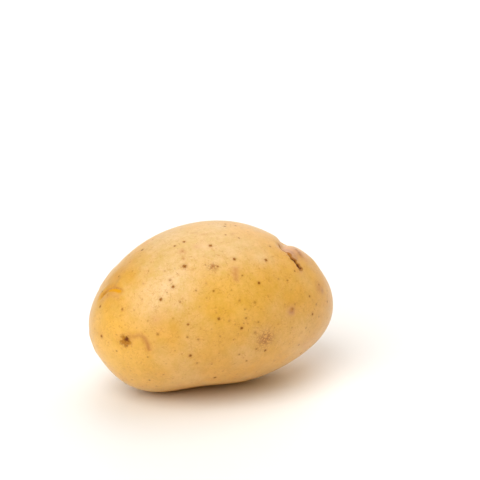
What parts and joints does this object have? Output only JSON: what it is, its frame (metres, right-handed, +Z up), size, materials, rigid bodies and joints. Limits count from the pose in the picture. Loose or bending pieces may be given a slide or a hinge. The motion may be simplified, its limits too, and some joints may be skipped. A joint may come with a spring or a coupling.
{
  "type": "potato",
  "caption": "Whole oval yellow-skinned potato, washed, with shallow eyes, a crease at one shoulder and a small flat spot that it lies on.",
  "frame": {"origin": "on the surface that the potato lies on, under the middle of its bounding box", "axes": "+X runs along the potato towards its stem end, +Y points to its back, +Z is up"},
  "size_m": [0.0936, 0.0618, 0.0616],
  "materials": {
    "potato_skin": "satin"
  },
  "bodies": {
    "root": {"potato": "potato_skin"}
  },
  "joints": []
}
